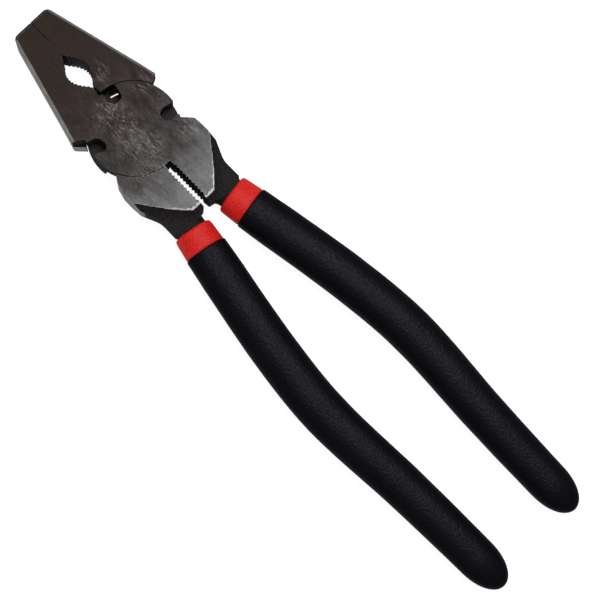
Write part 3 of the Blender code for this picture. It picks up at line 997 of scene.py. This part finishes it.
def ground_faces(tree, at, noises):
    """The head's two faces, rubbed lighter in the middle and on a few spots, scratched and pitted."""
    middle = product(
        tree,
        step(tree, maths(tree, "ABSOLUTE", maths(tree, "ADD", at.x, 2.0)), 9.5, 1.0),
        step(tree, at.y, 25.0, 8.0),
        step(tree, at.y, -22.0, -12.0),
    )
    used = middle
    for spot, reach in RUBBED_SPOTS:
        used = maths(tree, "MAXIMUM", used, near(tree, at, spot, RUBBED_CORE, reach))
    brighter = maths(tree, "MULTIPLY_ADD", middle, 0.2, 0.62)
    rub = maths(tree, "ADD", step(tree, noises.scratch, 0.4, 0.66), step(tree, noises.speck, 0.42, 0.62))
    share = maths(tree, "MULTIPLY_ADD", used, 0.4, 0.14)
    rubbed = maths(tree, "MULTIPLY_ADD", rub, share, maths(tree, "MULTIPLY_ADD", share, -0.7, 1.0))
    lined = swing(tree, noises.streak, 0.35, 1.0)
    worn = maths(tree, "MULTIPLY_ADD", step(tree, at.y, 30.0, 6.0), 0.6, 0.1)
    worn = maths(tree, "MULTIPLY_ADD", step(tree, at.y, -16.0, -22.0), -0.4, worn)
    clouded = swing(tree, step(tree, noises.cloud, 0.3, 0.7), worn, 1.0)
    tone = face_tone(tree, at, noises)
    faces = lighten(tree, tone, product(tree, brighter, rubbed, lined, clouded))

    low_down = maths(tree, "MULTIPLY_ADD", step(tree, at.y, 18.0, -4.0), 0.28, 0.03)
    where = maths(tree, "MAXIMUM", low_down, used)
    hairline = step(tree, noises.hairline, 0.52, 0.66)
    cut = maths(tree, "MAXIMUM", hairline, step(tree, noises.crossing, 0.53, 0.66))
    cut = product(tree, cut, step(tree, noises.cluster, 0.4, 0.6), where)
    faces = mix(tree, maths(tree, "MULTIPLY", cut, 0.42), faces, srgb(146, 143, 141))
    pits = product(tree, step(tree, noises.pitted, 0.44, 0.36), where, 0.45)
    return mix(tree, pits, faces, srgb(34, 31, 32))


def ground_sides(tree, noises):
    """The ground sides of jaws and wings: grinding lines, stains, dents and a few bright nicks."""
    ground = swing(tree, noises.ground, 1.1, 1.0)
    stained = maths(tree, "MULTIPLY_ADD", step(tree, noises.cloud, 0.32, 0.62), 0.3, 0.85)
    sides = lighten(tree, srgb(140, 137, 134), maths(tree, "MULTIPLY", ground, stained))
    dent = maths(tree, "MULTIPLY", step(tree, noises.pitted, 0.37, 0.28), 0.4)
    sides = mix(tree, dent, sides, srgb(70, 66, 63))
    nick = maths(tree, "MULTIPLY", step(tree, noises.crossing, 0.62, 0.7), 0.35)
    return mix(tree, nick, sides, srgb(196, 194, 192))


def side_share(tree, at, forged):
    """1 on the ground sides, only where walls face along x: walls facing along y, such as the
    shoulder's underside, keep the dark scale as painted shade. Below a wing's ground face only its
    upright wall is one of them.

    The bevels on the side of positive x count half, as painted shade on the side away from the light.
    """
    flank = product(
        tree,
        step(tree, at.away_x, 6.5, 7.2),
        step(tree, at.radius, SEAM_RADIUS + 0.1, SEAM_RADIUS + 0.5),
        step(tree, at.y, -24.5, -22.5),
        # painted shade: walls that face along y get the dark scale instead of the ground steel
        step(tree, at.normal_x, 0.5, 0.62),
    )
    fallen = maths(tree, "MULTIPLY", forged, step(tree, at.depth, 0.3, 0.6))
    upright = maths(tree, "MAXIMUM", rest_of(tree, fallen), step(tree, at.normal_z, 0.35, 0.2))
    # painted shade: the bevels on the side of positive x are drawn only half as bright as ground steel
    painted_shade_bevels = product(tree, step(tree, at.x, 1.0, 2.0), step(tree, at.normal_z, 0.5, 0.6), 0.5)
    return product(tree, flank, upright, rest_of(tree, painted_shade_bevels))


def painted_rim_highlight(tree, at, noises, forged):
    """1 on the thin painted highlight, drawn near white, where grinding stops on a wing, wider towards the
    wing's foot.
    """
    corner = maths(tree, "MULTIPLY_ADD", step(tree, at.y, -22.0, -33.5), 0.6, 0.4)
    uneven = maths(tree, "MULTIPLY_ADD", noises.speck, 0.6, -0.25)
    line_end = maths(tree, "MULTIPLY_ADD", corner, 0.7, uneven)
    above = step(tree, maths(tree, "SUBTRACT", at.depth, line_end), 0.2, -0.1)
    line = maths(tree, "MULTIPLY", above, step(tree, at.depth, 0.01, 0.06))
    return product(tree, forged, line, corner, step(tree, at.normal_z, 0.1, 0.25))


def black_scale(tree, at, noises):
    """The scale on all that isn't ground: bluish on the pipe grip's walls; on notch floors a purplish tone,
    painted paler to make up for the shade they lie in.
    """
    scale = mix(tree, step(tree, noises.scale, 0.28, 0.72), srgb(15, 12, 14), srgb(42, 38, 40))
    deep = step(tree, at.depth, HALF_THICK - 0.9, HALF_THICK - 0.5)
    notch_floor_painted_light = maths(tree, "MULTIPLY", step(tree, at.normal_z, 0.8, 0.95), deep)
    # painted light: the purplish notch floors are made paler than the scale to make up for the shade they
    # lie in
    floors = lighten(tree, srgb(48, 42, 46), maths(tree, "ADD", noises.scale, 0.5))
    scale = mix(tree, notch_floor_painted_light, scale, floors)
    on_grip = product(
        tree,
        step(tree, at.normal_z, 0.4, 0.2),
        step(tree, at.away_x, 6.0, 5.5),
        step(tree, at.y, GRIP_LOW_Y, GRIP_LOW_Y + 2.0),
        step(tree, at.y, GRIP_HIGH_Y - 0.7, GRIP_HIGH_Y - 2.3),
    )
    grip_walls = mix(tree, step(tree, noises.scale, 0.35, 0.65), srgb(34, 34, 42), srgb(98, 98, 112))
    return mix(tree, on_grip, scale, grip_walls)


def worn_edges(tree, at, noises, colour):
    """The colour with rubbed rims, and with small bright chips along the seam behind the pivot."""
    wear = add(tree, "ShaderNodeAttribute", attribute_name="edge_wear").outputs["Fac"]
    shallow = step(tree, at.depth, 1.0, 0.4)
    edge = product(tree, wear, step(tree, noises.scratch, 0.35, 0.6), shallow)
    colour = mix(tree, maths(tree, "MULTIPLY", edge, 0.3), colour, srgb(150, 148, 147))
    behind = product(tree, step(tree, noises.speck, 0.48, 0.56), step(tree, at.y, -9.0, -13.0))
    chip = product(tree, wear, behind, shallow, step(tree, at.radius, SEAM_RADIUS + 1.0, SEAM_RADIUS + 0.4))
    return mix(tree, chip, colour, srgb(205, 203, 202))


def steel_material():
    material, tree = new_tree("forged_steel_look")
    at = steel_place(tree)
    made = {name: grain(tree, at.point, *settings) for name, settings in STEEL_NOISES.items()}
    noises = SimpleNamespace(**made)
    forged = step(tree, at.y, -15.0, -17.0)
    top = maths(tree, "MULTIPLY", step(tree, at.normal_z, 0.93, 0.97), step(tree, at.depth, 0.12, 0.05))
    # side holds the ground sides, with painted shade on walls facing along y and on the bevels of positive
    # x
    side = side_share(tree, at, forged)
    rim = painted_rim_highlight(tree, at, noises, forged)
    colour = mix(tree, side, black_scale(tree, at, noises), ground_sides(tree, noises))
    colour = mix(tree, top, colour, ground_faces(tree, at, noises))
    # painted highlight: the near-white colour on the line where grinding stops stands in for the light that
    # its bevel catches
    colour = mix(tree, rim, colour, srgb(250, 249, 250))
    colour = worn_edges(tree, at, noises, colour)

    bare = maths(tree, "MAXIMUM", maths(tree, "MAXIMUM", top, rim), side)
    roughness = swing(tree, noises.streak, 0.12, 0.56)
    roughness = maths(tree, "ADD", roughness, maths(tree, "MULTIPLY", rest_of(tree, bare), 0.2))
    height = maths(tree, "MULTIPLY_ADD", noises.scratch, 0.3, maths(tree, "MULTIPLY", noises.streak, 0.5))
    rough_scale = maths(tree, "MULTIPLY", noises.scale, maths(tree, "SUBTRACT", 1.5, bare))
    height = maths(tree, "ADD", height, rough_scale)
    shader = dress(tree, colour, roughness, 0.2, (height, 0.25, 0.00004))
    tree.links.new(maths(tree, "MULTIPLY", top, 0.85), shader.inputs["Metallic"])
    return material


def red_material():
    material, tree = new_tree("red_dip")
    point, _ = millimetres(tree)
    blotch = grain(tree, point, EVEN, 0.35, 4.0, 0.55)
    fine = grain(tree, point, EVEN, 1.7, 3.0, 0.6)
    speckle = step(tree, fine, 0.32, 0.68)
    tone = maths(tree, "MULTIPLY_ADD", speckle, 0.7, maths(tree, "MULTIPLY", blotch, 0.3))
    colour = mix(tree, tone, srgb(196, 20, 12), srgb(250, 54, 48))
    roughness = maths(tree, "MULTIPLY_ADD", fine, 0.2, 0.36)
    dress(tree, colour, roughness, 0.12, (fine, 0.5, 0.0002))
    return material


def black_material():
    material, tree = new_tree("black_dip")
    point, _ = millimetres(tree)
    inputs = {"Vector": point, "Scale": 1.2, "Randomness": 1.0}
    pebble = add(tree, "ShaderNodeTexVoronoi", inputs, feature="SMOOTH_F1").outputs["Distance"]
    fine = grain(tree, point, EVEN, 1.5, 4.0, 0.65)
    blotch = grain(tree, point, EVEN, 0.12, 3.0, 0.5)
    tone = maths(tree, "MULTIPLY_ADD", blotch, 0.4, maths(tree, "MULTIPLY", fine, 0.6))
    colour = mix(tree, tone, srgb(5, 5, 8), srgb(21, 20, 27))
    roughness = maths(tree, "MULTIPLY_ADD", step(tree, fine, 0.35, 0.65), 0.14, 0.3)
    height = maths(tree, "MULTIPLY_ADD", pebble, -0.8, fine)
    shader = dress(tree, colour, roughness, 0.09, (height, 1.0, 0.00016))
    shader.inputs["Specular Tint"].default_value = (0.9, 0.87, 1.0, 1.0)
    return material


# ---------------------------------------------------------------- stage


def floor():
    """A pale floor just below the tool, lit from within so that it renders white."""
    bm = bmesh.new()
    bmesh.ops.create_grid(bm, x_segments=1, y_segments=1, size=FLOOR_HALF)
    obj = plain_object("floor", bm)
    obj.location = (0.0, FLOOR_Y, cad_box[0][2] - FLOOR_DROP)
    material, tree = new_tree("floor")
    shader = tree.nodes["Principled BSDF"]
    shader.inputs["Base Color"].default_value = (0.3, 0.3, 0.3, 1.0)
    shader.inputs["Roughness"].default_value = 0.9
    shader.inputs["Emission Color"].default_value = (1.0, 1.0, 1.0, 1.0)
    shader.inputs["Emission Strength"].default_value = FLOOR_GLOW
    obj.data.materials.append(material)
    obj.visible_glossy = False


def key_light():
    light = bpy.data.lights.new("key", "AREA")
    light.shape = "DISK"
    light.size = KEY_SIZE
    light.energy = KEY_POWER
    obj = bpy.data.objects.new("key", light)
    obj.location = KEY_PLACE
    direction = Vector(KEY_TARGET) - Vector(KEY_PLACE)
    obj.rotation_euler = direction.to_track_quat("-Z", "Y").to_euler()
    bpy.context.scene.collection.objects.link(obj)


def studio():
    """A soft white dome, darkest at the horizon and somewhat lighter again below it."""
    world = bpy.data.worlds.new("studio")
    world.use_nodes = True
    tree = world.node_tree
    background = tree.nodes["Background"]
    coords = add(tree, "ShaderNodeTexCoord")
    height = add(tree, "ShaderNodeSeparateXYZ", {0: coords.outputs["Generated"]}).outputs[2]
    below = maths(tree, "MULTIPLY", step(tree, height, -0.2, -0.6), 0.7)
    share = maths(tree, "ADD", step(tree, height, -0.1, 0.95), below)
    shade = mix(tree, share, (0.2, 0.2, 0.2, 1.0), (1.0, 1.0, 1.0, 1.0))
    tree.links.new(shade, background.inputs["Color"])
    background.inputs["Strength"].default_value = STUDIO_POWER
    bpy.context.scene.world = world


def camera():
    """A long lens nearly straight above the tool, turned so that the jaws point to the upper left."""
    data = bpy.data.cameras.new("camera")
    data.lens = CAMERA_LENS
    data.sensor_width = CAMERA_SENSOR
    data.clip_start = 0.01
    obj = bpy.data.objects.new("camera", data)
    eye = Vector(CAMERA_EYE)
    forward = (Vector(CAMERA_TARGET) - eye).normalized()
    right = forward.cross(Vector(CAMERA_UP)).normalized()
    up = right.cross(forward)
    turn = Matrix((right, up, -forward)).transposed().to_4x4()
    obj.matrix_world = Matrix.Translation(eye) @ turn
    bpy.context.scene.collection.objects.link(obj)
    bpy.context.scene.camera = obj


def main():
    steel = steel_material()
    red = red_material()
    black = black_material()
    levers = (
        ("front_lever", "front_half", "lever_front", FRONT_SHOULDER, FRONT_WING_TOP),
        ("rear_lever", "rear_half", "lever_rear", REAR_SHOULDER, REAR_WING_TOP),
    )
    for name, body, node, shoulder, wing_top in levers:
        front = name == "front_lever"
        shape = lever_shape(shoulder, wing_top, not front)
        piece(name, shape, front, body, node, "forged_steel", steel, LEVER_SMOOTH)
    piece("rivet", rivet_shape(), True, "rear_half", "pivot_rivet", "rivet_steel", steel, RIVET_SMOOTH)
    for side, front, end_y in (("right", True, RIGHT_END_Y), ("left", False, LEFT_END_Y)):
        body = "front_half" if front else "rear_half"
        node = "inner_sleeve_" + side
        piece("red_dip_" + side, red_shape(), front, body, node, "red_vinyl", red, DIP_SMOOTH)
        node = "outer_grip_" + side
        piece("black_dip_" + side, black_shape(end_y), front, body, node, "black_vinyl", black, DIP_SMOOTH)

    floor()
    key_light()
    studio()
    bpy.context.scene.view_settings.view_transform = "Standard"
    camera()


main()
